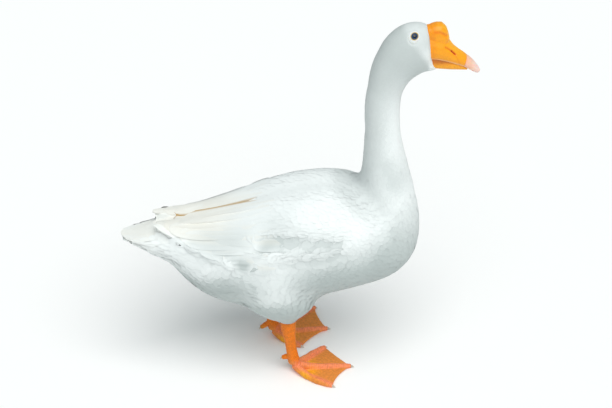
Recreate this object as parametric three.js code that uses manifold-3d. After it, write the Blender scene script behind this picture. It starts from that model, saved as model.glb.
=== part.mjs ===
// A white Chinese goose, standing, at life size, in millimetres.
// +X is the way the goose faces, +Y is its left side, +Z is up, and the floor is z = 0.
// The trunk, tail, neck and head are one form, skinned over sections from tail tip to face and
// parted by thin cuts. The folded wings are shells laid on that form, and the thighs are cones that
// come out of it. Bill, knob, nail, eyes, shanks, webbed feet and claws are solids of their own.
import * as THREE from "three";
import { mergeVertices } from "three/addons/utils/BufferGeometryUtils.js";
import Module from "manifold-3d";

const wasm = await Module();
wasm.setup();

// ---------------------------------------------------------------- driving dimensions

const GAP = 0.35; // clearance between neighbouring pieces

// A section spans the bird from its upper outline to its lower one, both given as [x, z] in the
// middle plane, and has a half width. "wide" is how far down it its widest place lies, from 0 to 1.
const BODY = [
  { at: "tail tip", upper: [-296, 249], lower: [-295, 242], half: 15, wide: 0.5 },
  { at: "tail blade", upper: [-274, 255], lower: [-272, 234], half: 31, wide: 0.35 },
  { at: "tail coverts", upper: [-246, 260], lower: [-243, 218], half: 40, wide: 0.38 },
  { at: "tail root", upper: [-217, 265], lower: [-214, 200], half: 50, wide: 0.42 },
  { at: "vent", upper: [-190, 272], lower: [-190, 170], half: 64, wide: 0.45 },
  { at: "rump", upper: [-150, 284], lower: [-152, 140], half: 82, wide: 0.47 },
  { at: "loin", upper: [-92, 304], lower: [-92, 124], half: 97, wide: 0.48 },
  { at: "back", upper: [-25, 325], lower: [-22, 128], half: 103, wide: 0.48 },
  { at: "shoulder", upper: [35, 333], lower: [44, 147], half: 104, wide: 0.5 },
  { at: "withers", upper: [72, 332], lower: [104, 161], half: 98, wide: 0.52 },
  { at: "breast", upper: [85, 332], lower: [150, 177], half: 88, wide: 0.55 },
  { at: "crop", upper: [89, 338], lower: [180, 207], half: 75, wide: 0.56 },
  { at: "neck foot", upper: [91, 347], lower: [190, 250], half: 61, wide: 0.55 },
  { at: "neck base", upper: [93, 364], lower: [184, 303], half: 49, wide: 0.52 },
  { at: "low neck", upper: [95, 390], lower: [170, 356], half: 38, wide: 0.5 },
  { at: "middle neck", upper: [96, 425], lower: [156, 414], half: 31, wide: 0.5 },
  { at: "thin neck", upper: [95, 463], lower: [152, 462], half: 28, wide: 0.5 },
  { at: "high neck", upper: [99, 503], lower: [156, 491], half: 28, wide: 0.5 },
  { at: "nape", upper: [107, 541], lower: [165, 508], half: 28, wide: 0.48 },
  { at: "hind head", upper: [123, 575], lower: [176, 517], half: 29, wide: 0.48 },
  { at: "crown", upper: [146, 598], lower: [185, 523], half: 29, wide: 0.5 },
  { at: "brow", upper: [171, 606], lower: [193, 529], half: 26.5, wide: 0.52 },
  { at: "face", upper: [191, 602], lower: [198, 538], half: 20, wide: 0.55 },
];
const BODY_SQUARENESS = 2.25; // 2 is an ellipse, more is fuller at the corners

// Folded wing, along the body form: the place, the angles its shell spans from the middle of the
// back, the stand-off of its outer face and its thickness. The tips stand clear above the tail.
const WING = [
  { at: 10.6, from: 48, to: 58, lift: 0.6, thick: 4 },
  { at: 10.2, from: 32, to: 70, lift: 4, thick: 9 },
  { at: 9.6, from: 20, to: 79, lift: 6, thick: 12 },
  { at: 8.8, from: 11, to: 84, lift: 7, thick: 13 },
  { at: 7.8, from: 6, to: 86, lift: 7, thick: 13 },
  { at: 6.8, from: 4, to: 87, lift: 7, thick: 13 },
  { at: 6.0, from: 3, to: 86, lift: 7, thick: 13 },
  { at: 5.4, from: 3, to: 78, lift: 7, thick: 13 },
  { at: 4.8, from: 3, to: 69, lift: 7.5, thick: 12 },
  { at: 4.2, from: 3, to: 61, lift: 9, thick: 11 },
  { at: 3.6, from: 4, to: 54, lift: 12, thick: 10 },
  { at: 3.0, from: 6, to: 46, lift: 16, thick: 8 },
  { at: 2.5, from: 10, to: 36, lift: 19, thick: 6 },
  { at: 2.15, from: 17, to: 24, lift: 21, thick: 3 },
];
const WING_EDGE = 7; // stand-off above which a wing's edges thin down no further
const WING_CUT = 6; // row where the covert shield ends and the bundle of flight feathers begins

// Bill, as sections of its own from face to tip.
const BILL_SQUARENESS = 2.45;
const UPPER_BILL = [
  { upper: [190, 591], lower: [197, 546], half: 18.5, wide: 0.64 },
  { upper: [208, 588], lower: [206, 545], half: 18.5, wide: 0.66 },
  { upper: [221, 579], lower: [217, 542.5], half: 17.5, wide: 0.66 },
  { upper: [233, 564], lower: [228, 539], half: 15.8, wide: 0.64 },
  { upper: [244, 556], lower: [238, 535.5], half: 14.4, wide: 0.62 },
  { upper: [252, 549], lower: [246, 532], half: 13.2, wide: 0.58 },
];
const NAIL = [
  { upper: [252, 549], lower: [246, 532], half: 13, wide: 0.58 },
  { upper: [260, 542.5], lower: [253, 528], half: 12, wide: 0.56 },
  { upper: [267.5, 534], lower: [260, 523.5], half: 9.6, wide: 0.54 },
  { upper: [272.5, 526.5], lower: [266, 519.5], half: 6.2, wide: 0.5 },
  { upper: [274.5, 521.5], lower: [270.5, 518], half: 2.6, wide: 0.5 },
];
const LOWER_BILL = [
  { upper: [197, 553], lower: [200, 530], half: 14.5, wide: 0.5 },
  { upper: [212, 550], lower: [213, 528.5], half: 14.2, wide: 0.5 },
  { upper: [228, 545], lower: [228, 527], half: 13, wide: 0.5 },
  { upper: [243, 539], lower: [242, 526.2], half: 11, wide: 0.5 },
  { upper: [254, 532], lower: [253, 525], half: 7.5, wide: 0.5 },
];
// The knob is a rounded block, leaning forward at its foot.
const KNOB = { centre: [205, 0, 583], radii: [17.5, 14.2, 20], squareness: 2.9, lean: -16 };

const EYE_RADIUS = 8.4;
const EYE = [167, 16, 587]; // middle of the left eyeball

// Stations down a leg: height, how far the middle lies forward of the foot's and outward of the
// middle plane, and the radii fore and aft and across.
const THIGH = [
  { z: 236, x: -30, y: 66, radii: [38, 27] },
  { z: 214, x: -33, y: 69, radii: [54, 33] },
  { z: 190, x: -33, y: 66, radii: [62, 36] },
  { z: 165, x: -31, y: 60, radii: [62, 37] },
  { z: 145, x: -24, y: 56.5, radii: [60, 37] },
  { z: 129, x: -21, y: 54, radii: [48, 33] },
  { z: 117, x: -18, y: 52, radii: [32, 25.5] },
  { z: 109, x: -13.5, y: 50.5, radii: [19.5, 17] },
  { z: 101, x: -11.5, y: 50, radii: [15, 13.8] },
];
const SHANK = [
  { z: 112, x: -11.5, y: 50, radii: [11.5, 9] },
  { z: 96, x: -11.5, y: 50, radii: [12.5, 9.5] },
  { z: 78, x: -10.5, y: 49.5, radii: [10.5, 8.5] },
  { z: 62, x: -8, y: 49, radii: [8.8, 7.5] },
  { z: 42, x: -6, y: 48, radii: [8.6, 7.5] },
  { z: 26, x: -3, y: 47.5, radii: [9.6, 8.5] },
  { z: 17, x: -1, y: 47, radii: [10.5, 9.5] },
];
// Feet: the middle of each, and the points of its claws on the floor. The hind one is clear of it,
// by its height, and slopes down by its drop. The webs' front edges hang back between the toes by
// webBow, where 1 is a straight edge: first the inner web, then the outer.
const LEGS = [
  {
    side: "right",
    sign: -1,
    foot: [-17, -47],
    toes: { inner: [42, 14], middle: [82, -46], outer: [46, -101], hind: [-42, -44] },
    hind: { height: 22, drop: 2 },
    webBow: [0.97, 0.86],
  },
  {
    side: "left",
    sign: 1,
    foot: [-45, 56],
    toes: { inner: [2, 16], middle: [52, 68], outer: [34, 137], hind: [-73, 56] },
    hind: { height: 14, drop: 13 },
    webBow: [0.86, 0.93],
  },
];
const FOOT_OUT = 47; // how far outward the foot's middle lies on the stations' scale
const TOE_BOW = { inner: -5, middle: 0, outer: 7, hind: 0 }; // how far each toe bows outward
const TOE_RADII = { base: 7.4, knuckle: 5.6, end: 4.1 };
const CLAW_LENGTH = { inner: 8, middle: 8.5, outer: 8, hind: 6.5 };
const WEB_HEIGHT = [1.6, 4.2]; // bottom and top of the web
const WEB_REACH = 0.93; // how far along the toes the webs reach

const BODY_SIDES = 28; // faces round the trunk
const NECK_SIDES = 20; // faces round the neck and head
const TAIL_SIDES = 18;
const BILL_SIDES = 16;
const LEG_SIDES = 14;
const TOE_SIDES = 8;
const WING_STRIPS = 9; // faces across a wing

// ---------------------------------------------------------------- materials

const material = (color, roughness) =>
  new THREE.MeshStandardMaterial({ color, roughness, metalness: 0 });
const FEATHER = material(0xf2f3ee, 0.8);
const BILL_SKIN = material(0xf39a1c, 0.45);
const NAIL_HORN = material(0xf0c8b4, 0.4);
const EYE_GLOSS = material(0x2c4a78, 0.1);
const LEG_SKIN = material(0xe8731c, 0.55);
const CLAW_HORN = material(0xcfc4b6, 0.45);

// ---------------------------------------------------------------- solids and meshes

const goose = new THREE.Group();

// A closed surface through rings of points, each ring in the same order, with flat ends.
function skin(rings) {
  const count = rings[0].length;
  const points = rings.flat();
  const faces = [];
  for (let i = 0; i + 1 < rings.length; i++)
    for (let j = 0; j < count; j++) {
      const a = i * count + j;
      const b = i * count + ((j + 1) % count);
      faces.push(a, b, b + count, a, b + count, a + count);
    }
  for (const [ring, first] of [[rings[0], 0], [rings.at(-1), (rings.length - 1) * count]]) {
    const middle = ring.reduce((sum, p) => sum.add(p), new THREE.Vector3()).divideScalar(count);
    points.push(middle);
    for (let j = 0; j < count; j++) {
      const edge = [first + j, first + ((j + 1) % count)];
      if (first === 0) edge.reverse();
      faces.push(points.length - 1, ...edge);
    }
  }
  return new THREE.BufferGeometry().setFromPoints(points).setIndex(faces);
}

function solidOf(geometry) {
  const bare = geometry.clone();
  for (const name of Object.keys(bare.attributes)) if (name !== "position") bare.deleteAttribute(name);
  const merged = mergeVertices(bare, 1e-4);
  const make = (index) =>
    new wasm.Manifold(
      new wasm.Mesh({ numProp: 3, vertProperties: merged.attributes.position.array, triVerts: index }),
    );
  const index = new Uint32Array(merged.index.array);
  const made = make(index);
  return made.volume() > 0 ? made : make(index.reverse());
}

function addPiece(name, solid, finish) {
  const mesh = solid.simplify(0.03).getMesh();
  const geometry = new THREE.BufferGeometry()
    .setAttribute("position", new THREE.BufferAttribute(mesh.vertProperties, 3))
    .setIndex(new THREE.BufferAttribute(mesh.triVerts, 1));
  geometry.computeVertexNormals();
  const piece = new THREE.Mesh(geometry, finish);
  piece.name = name;
  goose.add(piece);
}

const boxSolid = (from, to) => {
  const size = to.map((v, i) => v - from[i]);
  const middle = to.map((v, i) => (v + from[i]) / 2);
  return solidOf(new THREE.BoxGeometry(...size).translate(...middle));
};

const ballSolid = (centre, radii, across, down) =>
  solidOf(new THREE.SphereGeometry(1, across, down).scale(...radii).translate(...centre));

// A rounded block: a ball swollen towards its corners by "squareness", turned nose down by "lean".
function blockSolid({ centre, radii, squareness, lean }, across, down) {
  const ball = new THREE.SphereGeometry(1, across, down);
  const points = ball.attributes.position;
  const p = new THREE.Vector3();
  for (let i = 0; i < points.count; i++) {
    p.fromBufferAttribute(points, i);
    const swell = p.toArray().reduce((sum, v) => sum + Math.abs(v) ** squareness, 0);
    p.multiplyScalar(swell ** (-1 / squareness));
    points.setXYZ(i, ...p.toArray());
  }
  ball.scale(...radii).rotateY(THREE.MathUtils.degToRad(lean));
  return solidOf(ball.translate(...centre));
}

// ---------------------------------------------------------------- forms skinned over sections

// Catmull-Rom through one value of the rows, at a place between them.
function along(rows, place, read) {
  const i = Math.max(0, Math.min(Math.floor(place), rows.length - 2));
  const value = (k) => read(rows[Math.max(0, Math.min(rows.length - 1, k))]);
  const t = place - i;
  const [a, b, c, d] = [value(i - 1), value(i), value(i + 1), value(i + 2)];
  return b + 0.5 * t * (c - a + t * (2 * a - 5 * b + 4 * c - d + t * (3 * (b - c) + d - a)));
}

function sectionAt(rows, place) {
  const end = (key) =>
    new THREE.Vector3(along(rows, place, (s) => s[key][0]), 0, along(rows, place, (s) => s[key][1]));
  return {
    upper: end("upper"),
    lower: end("lower"),
    half: along(rows, place, (s) => s.half),
    wide: along(rows, place, (s) => s.wide),
  };
}

// A point of a section at an angle round it, 0 at the top and pi underneath, moved out by "grow".
function sectionPoint(section, angle, squareness, grow = 0) {
  const { upper, lower, half, wide } = section;
  const round = (v) => Math.sign(v) * Math.abs(v) ** (2 / squareness);
  const down = ((1 - round(Math.cos(angle))) / 2) ** (Math.log(wide) / Math.log(0.5));
  const point = upper.clone().lerp(lower, down);
  const rise = upper.clone().sub(lower).normalize();
  point.y = half * round(Math.sin(angle));
  if (grow === 0) return point;
  const out = new THREE.Vector3(0, Math.sin(angle), 0).addScaledVector(rise, Math.cos(angle));
  return point.addScaledVector(out.normalize(), grow);
}

// A length of a form between two places. Each end stops half a gap short of its cut, unless the
// length is grown to clear its neighbours.
function formLength(rows, squareness, { from, to, rings, sides, grow = 0 }) {
  const made = [];
  for (let i = 0; i <= rings; i++) {
    const section = sectionAt(rows, from + ((to - from) * i) / rings);
    const forward = section.upper.clone().sub(section.lower).cross(new THREE.Vector3(0, -1, 0));
    const end = i === 0 ? 1 : i === rings ? -1 : 0;
    const shift = forward.setLength(end * (grow ? -grow : GAP / 2));
    made.push(
      Array.from({ length: sides }, (_, j) =>
        sectionPoint(section, (2 * Math.PI * j) / sides, squareness, grow).add(shift),
      ),
    );
  }
  return solidOf(skin(made));
}

const placeOf = (name) => BODY.findIndex((section) => section.at === name);
const bodyLength = (spec) => formLength(BODY, BODY_SQUARENESS, spec);

const TAIL = { from: 0, to: placeOf("tail root"), rings: 6, sides: TAIL_SIDES };
const TRUNK = { from: TAIL.to, to: placeOf("neck base"), rings: 18, sides: BODY_SIDES };
const NECK = [
  { name: "neck_lower", to: placeOf("middle neck"), rings: 5 },
  { name: "neck_middle", to: placeOf("high neck"), rings: 4 },
  { name: "neck_upper", to: placeOf("nape") + 0.5, rings: 4 },
];

addPiece("tail", bodyLength(TAIL), FEATHER);
addPiece("trunk", bodyLength(TRUNK), FEATHER);
const grownBody = bodyLength({ ...TRUNK, grow: GAP }).add(bodyLength({ ...TAIL, grow: GAP }));

let neckFrom = TRUNK.to;
for (const { name, to, rings } of NECK) {
  addPiece(name, bodyLength({ from: neckFrom, to, rings, sides: NECK_SIDES }), FEATHER);
  neckFrom = to;
}

// ---------------------------------------------------------------- head, eyes and bill

const HEAD = { from: neckFrom, to: BODY.length - 1, rings: 9, sides: NECK_SIDES };
let head = bodyLength(HEAD);
for (const [side, sign] of [["right", -1], ["left", 1]]) {
  const centre = [EYE[0], sign * EYE[1], EYE[2]];
  const radii = [EYE_RADIUS, EYE_RADIUS, EYE_RADIUS];
  head = head.subtract(ballSolid(centre, radii.map((r) => r + GAP), 12, 8));
  addPiece(`eye_${side}`, ballSolid(centre, radii, 12, 8), EYE_GLOSS);
}
addPiece("head", head, FEATHER);

const billLength = (rows, spec) => formLength(rows, BILL_SQUARENESS, spec);
const UPPER = { from: 0, to: UPPER_BILL.length - 1, rings: 7, sides: BILL_SIDES };
const HORN = { from: 0, to: NAIL.length - 1, rings: 5, sides: BILL_SIDES };
const LOWER = { from: 0, to: LOWER_BILL.length - 1, rings: 6, sides: BILL_SIDES };
const grownHead = bodyLength({ ...HEAD, grow: GAP });
const grownUpper = billLength(UPPER_BILL, { ...UPPER, grow: GAP });
addPiece("bill_upper", billLength(UPPER_BILL, UPPER).subtract(grownHead), BILL_SKIN);
addPiece("bill_nail", billLength(NAIL, HORN), NAIL_HORN);
const lowerBill = billLength(LOWER_BILL, LOWER)
  .subtract(grownUpper)
  .subtract(billLength(NAIL, { ...HORN, grow: GAP }))
  .subtract(grownHead);
addPiece("bill_lower", lowerBill, BILL_SKIN);
const knob = blockSolid(KNOB, 14, 10).subtract(grownUpper).subtract(grownHead);
addPiece("bill_knob", knob, BILL_SKIN);

// ---------------------------------------------------------------- wings

// One ring of a wing's shell: across its outer face, then back across its inner one.
function wingRing(place, sign, shift, grow) {
  const row = (key) => along(WING, place, (r) => r[key]);
  const section = sectionAt(BODY, row("at"));
  const face = (drop) =>
    Array.from({ length: WING_STRIPS + 1 }, (_, j) => {
      const t = j / WING_STRIPS;
      const angle = THREE.MathUtils.degToRad(row("from") + (row("to") + grow - row("from")) * t);
      const thinned = 0.55 * Math.min(row("lift"), WING_EDGE) * (1 - Math.sin(Math.PI * t) ** 0.5);
      const rise = row("lift") - thinned + grow - drop;
      const point = sectionPoint(section, angle, BODY_SQUARENESS, rise);
      point.y *= sign;
      return point.add(shift);
    });
  return [...face(0), ...face(row("thick") + 2 * grow).reverse()];
}

function wingLength({ from, to, rings }, sign, grow = 0) {
  const made = [];
  for (let i = 0; i <= rings; i++) {
    const end = i === 0 ? -1 : i === rings ? 1 : 0;
    const shift = new THREE.Vector3(end * (grow ? -grow : GAP / 2), 0, 0);
    made.push(wingRing(from + ((to - from) * i) / rings, sign, shift, grow));
  }
  return solidOf(skin(made));
}

const COVERTS = { from: 0, to: WING_CUT, rings: 8 };
const FLIGHTS = { from: WING_CUT, to: WING.length - 1, rings: 8 };
for (const { side, sign } of LEGS) {
  addPiece(`wing_${side}`, wingLength(COVERTS, sign).subtract(grownBody), FEATHER);
  addPiece(`flights_${side}`, wingLength(FLIGHTS, sign).subtract(grownBody), FEATHER);
}

// ---------------------------------------------------------------- thighs, shanks and feet

const floorBelow = boxSolid([-400, -400, -60], [400, 400, 0]);

// Rings round an upright limb, from its stations, for the leg of one side.
function limb(stations, leg, { rings, grow = 0 }) {
  const made = [];
  for (let i = 0; i <= rings; i++) {
    const place = ((stations.length - 1) * i) / rings;
    const value = (read) => along(stations, place, read);
    const z = value((s) => s.z);
    const x = leg.foot[0] + value((s) => s.x);
    const y = leg.foot[1] + leg.sign * (value((s) => s.y) - FOOT_OUT);
    const [fore, across] = [0, 1].map((k) => value((s) => s.radii[k]) + grow);
    made.push(
      Array.from({ length: LEG_SIDES }, (_, j) => {
        const angle = (2 * Math.PI * j) / LEG_SIDES;
        return new THREE.Vector3(x + fore * Math.cos(angle), y + across * Math.sin(angle), z);
      }),
    );
  }
  return solidOf(skin(made));
}

// Rings round a path of [x, y, z, radius] stations, each ring square to the floor plan of the path.
function finger(stations, sides) {
  const made = stations.map(([x, y, z, radius], i) => {
    const [a, b] = [stations[Math.max(0, i - 1)], stations[Math.min(stations.length - 1, i + 1)]];
    const forward = new THREE.Vector3(b[0] - a[0], b[1] - a[1], b[2] - a[2]).normalize();
    const across = new THREE.Vector3(-forward.y, forward.x, 0).normalize();
    const up = forward.clone().cross(across);
    return Array.from({ length: sides }, (_, j) => {
      const angle = (2 * Math.PI * j) / sides;
      return new THREE.Vector3(x, y, z)
        .addScaledVector(across, radius * Math.cos(angle))
        .addScaledVector(up, radius * Math.sin(angle));
    });
  });
  return solidOf(skin(made));
}

// A toe's path from the foot's middle to its claw: [share of the length, height, radius].
const TOE_PATH = [
  [0, 11, TOE_RADII.base],
  [0.18, 8, TOE_RADII.base * 0.86],
  [0.38, 5, TOE_RADII.knuckle * 1.05],
  [0.5, 4.2, TOE_RADII.knuckle * 0.88],
  [0.64, 4, TOE_RADII.knuckle],
  [0.8, 3.5, TOE_RADII.knuckle * 0.8],
  [0.9, 3.7, TOE_RADII.end * 1.1],
  [1, 3.3, TOE_RADII.end * 0.8],
];
// The hind toe, as heights above its claw's point.
const HIND_PATH = [
  [0, 7, 5.6],
  [0.4, 6, 4.8],
  [0.75, 4.4, 4.2],
  [1, 3.2, 3.3],
];
// A claw from its root to its point: [share of its length, height above the point, radius].
const CLAW_PATH = [
  [0, 3.2, 2.3],
  [0.35, 3.3, 2.1],
  [0.7, 2.4, 1.4],
  [1, 1.1, 0.5],
];

// Stations [x, y, z, radius] of a toe's flesh or of its claw. Shares run from one distance along the
// toe to another, and the toe bows to its side by "bow" at its middle.
function toeStations(leg, name, path, from, to) {
  const tip = leg.toes[name];
  const [dx, dy] = [tip[0] - leg.foot[0], tip[1] - leg.foot[1]];
  const reach = Math.hypot(dx, dy);
  const bow = leg.sign * TOE_BOW[name];
  const { height, drop } = name === "hind" ? leg.hind : { height: 0, drop: 0 };
  return path.map(([share, z, radius]) => {
    const t = (from(reach) + (to(reach) - from(reach)) * share) / reach;
    const side = (bow * 4 * t * (1 - t)) / reach;
    const lift = height + drop * (1 - t);
    return [leg.foot[0] + dx * t - dy * side, leg.foot[1] + dy * t + dx * side, z + lift, radius];
  });
}
const toeFlesh = (leg, name) => {
  const path = name === "hind" ? HIND_PATH : TOE_PATH;
  return toeStations(leg, name, path, () => 0, (reach) => reach - CLAW_LENGTH[name] + 3);
};
const clawHorn = (leg, name) =>
  toeStations(leg, name, CLAW_PATH, (reach) => reach - CLAW_LENGTH[name], (reach) => reach);

// The web between two toes: its front edge hangs back between the claws in a bow.
function webSolid(leg, tipA, tipB, hang) {
  const point = (tip, t) => [0, 1].map((k) => leg.foot[k] + (tip[k] - leg.foot[k]) * t);
  const [a, b] = [point(tipA, WEB_REACH), point(tipB, WEB_REACH)];
  const bow = [0, 1].map((k) => leg.foot[k] + ((a[k] + b[k]) / 2 - leg.foot[k]) * hang);
  const shape = new THREE.Shape();
  shape.moveTo(...leg.foot);
  shape.lineTo(...a);
  shape.quadraticCurveTo(...bow, ...b);
  shape.closePath();
  const [bottom, top] = WEB_HEIGHT;
  const plate = new THREE.ExtrudeGeometry(shape, {
    depth: top - bottom,
    bevelEnabled: false,
    curveSegments: 5,
  });
  return solidOf(plate.translate(0, 0, bottom));
}

for (const leg of LEGS) {
  const { side, toes } = leg;
  const grownShank = limb(SHANK, leg, { rings: 8, grow: GAP });
  const thigh = limb(THIGH, leg, { rings: 10 })
    .subtract(grownBody)
    .subtract(wingLength(COVERTS, leg.sign, GAP))
    .subtract(wingLength(FLIGHTS, leg.sign, GAP))
    .subtract(grownShank);
  addPiece(`thigh_${side}`, thigh, FEATHER);
  addPiece(`shank_${side}`, limb(SHANK, leg, { rings: 8 }), LEG_SKIN);
  const clawNames = Object.keys(toes);
  const grownClaws = clawNames.map((name) =>
    finger(clawHorn(leg, name).map(([x, y, z, r]) => [x, y, z, r + GAP]), 6),
  );
  let foot = finger(toeFlesh(leg, "middle"), TOE_SIDES)
    .add(finger(toeFlesh(leg, "inner"), TOE_SIDES))
    .add(finger(toeFlesh(leg, "outer"), TOE_SIDES))
    .add(webSolid(leg, toes.inner, toes.middle, leg.webBow[0]))
    .add(webSolid(leg, toes.middle, toes.outer, leg.webBow[1]))
    .subtract(floorBelow)
    .subtract(grownShank);
  let hindToe = finger(toeFlesh(leg, "hind"), TOE_SIDES).subtract(grownShank).subtract(foot);
  for (const claw of grownClaws) {
    foot = foot.subtract(claw);
    hindToe = hindToe.subtract(claw);
  }
  addPiece(`foot_${side}`, foot, LEG_SKIN);
  addPiece(`toe_hind_${side}`, hindToe, LEG_SKIN);
  for (const name of clawNames)
    addPiece(`claw_${name}_${side}`, finger(clawHorn(leg, name), 6), CLAW_HORN);
}

// The origin is on the floor, under the middle of the whole goose.
const middle = new THREE.Box3().setFromObject(goose).getCenter(new THREE.Vector3());
goose.position.set(-middle.x, -middle.y, 0);

export default goose;
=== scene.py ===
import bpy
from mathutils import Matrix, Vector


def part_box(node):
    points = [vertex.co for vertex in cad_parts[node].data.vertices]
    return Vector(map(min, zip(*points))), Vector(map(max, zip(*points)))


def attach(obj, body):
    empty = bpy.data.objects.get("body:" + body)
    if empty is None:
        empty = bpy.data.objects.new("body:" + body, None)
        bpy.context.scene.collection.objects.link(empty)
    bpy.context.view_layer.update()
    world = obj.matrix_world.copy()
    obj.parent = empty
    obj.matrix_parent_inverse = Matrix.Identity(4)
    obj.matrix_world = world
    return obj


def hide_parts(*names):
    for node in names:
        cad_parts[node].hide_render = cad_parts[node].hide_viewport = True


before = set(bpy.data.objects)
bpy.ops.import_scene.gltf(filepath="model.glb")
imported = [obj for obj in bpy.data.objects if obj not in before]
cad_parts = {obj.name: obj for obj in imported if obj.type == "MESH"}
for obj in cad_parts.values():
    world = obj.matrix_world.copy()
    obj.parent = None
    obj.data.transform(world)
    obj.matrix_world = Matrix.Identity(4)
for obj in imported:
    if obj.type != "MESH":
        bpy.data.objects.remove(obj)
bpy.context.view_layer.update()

import math

import bpy
import numpy as np
from mathutils import Vector, kdtree
from mathutils.bvhtree import BVHTree


# ---- Under-skin of the goose ----
# The skin that carries the plumage: trunk, neck, head, thighs and folded wings in one surface, sunk by
# the depth of the feathers. It is fused from the flesh of the frame, closed over the narrow clefts and
# smoothed, and the layers of the plumage are modelled into it as soft steps and hollows.

MIDDLE_Y = -0.0147  # the bird's middle plane
NOSEWARD = 0.0107  # how far ahead of the frame's origin the bird's own zero lies

FLESH = (
    "trunk", "tail", "neck_lower", "neck_middle", "neck_upper", "head",
    "thigh_right", "thigh_left", "wing_right", "wing_left", "flights_right", "flights_left",
)


def only(*objects):
    bpy.ops.object.select_all(action="DESELECT")
    for o in objects:
        o.select_set(True)
    bpy.context.view_layer.objects.active = objects[0]


def fused_copy(name, nodes, voxel, smooth_passes, grow=0.0, extra=()):
    """Copies of frame nodes, and any extra pieces, grown together into one closed, even mesh."""
    copies = list(extra)
    for node in nodes:
        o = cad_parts[node].copy()
        o.data = o.data.copy()
        o.data.materials.clear()
        bpy.context.collection.objects.link(o)
        o.parent = None
        copies.append(o)
    only(*copies)
    if len(copies) > 1:
        bpy.ops.object.join()
    piece = bpy.context.view_layer.objects.active
    piece.name = piece.data.name = name
    only(piece)
    bpy.ops.object.mode_set(mode="EDIT")
    bpy.ops.mesh.select_all(action="SELECT")
    bpy.ops.mesh.remove_doubles(threshold=1e-5)
    if grow:
        bpy.ops.transform.shrink_fatten(value=grow)
    bpy.ops.object.mode_set(mode="OBJECT")
    for kind, settings in (
        ("REMESH", {"mode": "VOXEL", "voxel_size": voxel}),
        ("SMOOTH", {"factor": 0.5, "iterations": smooth_passes}),
    ):
        modifier = piece.modifiers.new(kind.title(), kind)
        for key, value in settings.items():
            setattr(modifier, key, value)
        bpy.ops.object.modifier_apply(modifier=modifier.name)
    bpy.ops.object.shade_smooth()
    return piece


def points_of(piece):
    co = np.empty(len(piece.data.vertices) * 3)
    piece.data.vertices.foreach_get("co", co)
    return co.reshape(-1, 3)


def normals_of(piece):
    co = np.empty(len(piece.data.vertices) * 3)
    piece.data.vertices.foreach_get("normal", co)
    return co.reshape(-1, 3)


def move_points(piece, co):
    piece.data.vertices.foreach_set("co", co.ravel())
    piece.data.update()


def ramp(value, low, high):
    t = np.clip((value - low) / (high - low), 0, 1)
    return t * t * (3 - 2 * t)


def unit(v):
    return v / np.maximum(np.linalg.norm(v, axis=-1, keepdims=True), 1e-12)


def bird(x, y, z):
    """A place given in millimetres from the bird's own zero, forward, left and up, in the frame."""
    return Vector((x / 1000 + NOSEWARD, y / 1000 + MIDDLE_Y, z / 1000))


# The middle line of the bird from bill to tail, as (forward, up) in metres, which the feathers follow.
LIE = np.array([
    (0.215, 0.572), (0.182, 0.568), (0.166, 0.560), (0.150, 0.546), (0.136, 0.525),
    (0.128, 0.497), (0.124, 0.463), (0.126, 0.420), (0.132, 0.373), (0.138, 0.333),
    (0.138, 0.300), (0.122, 0.268), (0.088, 0.248), (0.040, 0.240), (-0.023, 0.230),
    (-0.092, 0.218), (-0.151, 0.214), (-0.190, 0.222), (-0.215, 0.233), (-0.245, 0.240),
    (-0.330, 0.250),
])
BODY_START = 11  # the place on it where the trunk begins
LIE_BLEND = 0.022  # stretches of the line that lie as near as this to each other's distance share the lie


def lie_at(p):
    """At points p: which way the plumage lies, the place along the bird, and the turn round it."""
    flat = np.stack([p[:, 0] - NOSEWARD, p[:, 2]], 1)
    a, step = LIE[:-1], np.diff(LIE, axis=0)
    t = np.clip(((flat[:, None] - a) * step).sum(2) / (step * step).sum(1), 0, 1)
    on_line = a + t[..., None] * step
    gap = np.linalg.norm(flat[:, None] - on_line, axis=2)
    share = np.exp(-(gap - gap.min(1, keepdims=True)) / LIE_BLEND) * np.linalg.norm(step, axis=1)
    share /= share.sum(1, keepdims=True)
    place = (share * (np.arange(len(step)) + t)).sum(1)
    way = unit(share @ unit(step))
    out = flat - (share[..., None] * on_line).sum(1)
    rise = way[:, 1] * out[:, 0] - way[:, 0] * out[:, 1]
    turn = np.degrees(np.arctan2(p[:, 1] - MIDDLE_Y, rise))
    return np.stack([way[:, 0], np.zeros(len(p)), way[:, 1]], 1), place, turn


FACE_COAT, NECK_COAT, BODY_COAT = 0.0006, 0.0011, 0.0017  # how deep the plumage lies


def coat_depth(p):
    """How deep the plumage lies at points p: thin on the face, thicker on the body."""
    x = p[:, 0] - NOSEWARD
    head = ramp(p[:, 2], 0.50, 0.56) * ramp(x, 0.10, 0.19)
    neck = ramp(p[:, 2], 0.34, 0.44)
    depth = BODY_COAT * (1 - neck) + NECK_COAT * neck
    return depth * (1 - head) + FACE_COAT * head


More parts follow.
